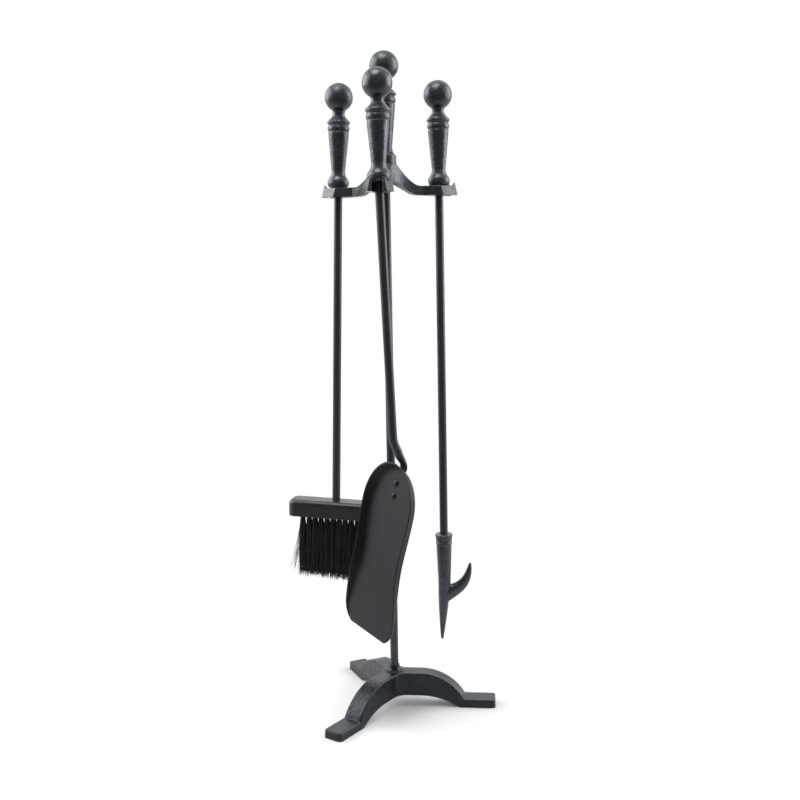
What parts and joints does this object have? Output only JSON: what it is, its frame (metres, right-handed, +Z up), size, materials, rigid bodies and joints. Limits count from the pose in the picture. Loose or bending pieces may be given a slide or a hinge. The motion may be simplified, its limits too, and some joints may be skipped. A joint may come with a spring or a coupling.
{
  "type": "fireplace tool set",
  "caption": "Black iron fireside companion set: a tripod stand with a forked hanger, from which a hearth brush, an ash shovel and a hooked poker hang by ball-topped handles.",
  "frame": {"origin": "on the floor, under the middle of the whole set; the axis of the post is 5.6 mm along +X and 3.9 mm along +Y from it", "axes": "+Z up along the post; +X along the right-hand leg of the tripod; -Y towards the viewer, with the shovel's fork facing -Y"},
  "size_m": [0.2472, 0.2204, 0.7429],
  "materials": {
    "cast_black": "satin black paint over a fine sand-cast skin",
    "rod_black": "satin black paint on round steel bar",
    "sheet_black": "satin black paint on pressed steel sheet",
    "rivet_black": "satin black paint on a domed rivet",
    "fastener_zinc": "zinc-plated steel",
    "block_black": "semi-gloss black paint on wood",
    "bristle_black": "matt black fibre"
  },
  "bodies": {
    "stand": {"base_casting": "cast_black", "post": "rod_black", "top_stud": "fastener_zinc", "base_flat_washer": "fastener_zinc", "base_lock_washer": "fastener_zinc", "base_bolt": "fastener_zinc", "hanger": "cast_black", "stand_handle": "cast_black"},
    "brush": {"brush_handle": "cast_black", "brush_shaft": "rod_black", "brush_sleeve": "rod_black", "brush_block": "block_black", "brush_bristles": "bristle_black"},
    "shovel": {"shovel_handle": "cast_black", "shovel_shaft": "rod_black", "shovel_pan": "sheet_black", "upper_shovel_rivet": "rivet_black", "lower_shovel_rivet": "rivet_black"},
    "poker": {"poker_handle": "cast_black", "poker_shaft": "rod_black", "poker_tip": "cast_black"}
  },
  "joints": [
    {"name": "brush_lift", "type": "slide", "parent": "stand", "child": "brush", "axis": [-0.433, 0.25, 0.866], "range_m": [0, 0.25]},
    {"name": "shovel_lift", "type": "slide", "parent": "stand", "child": "shovel", "axis": [-0.029, -0.4998, 0.8657], "range_m": [0, 0.25]},
    {"name": "poker_lift", "type": "slide", "parent": "stand", "child": "poker", "axis": [0.433, 0.25, 0.866], "range_m": [0, 0.25]}
  ]
}
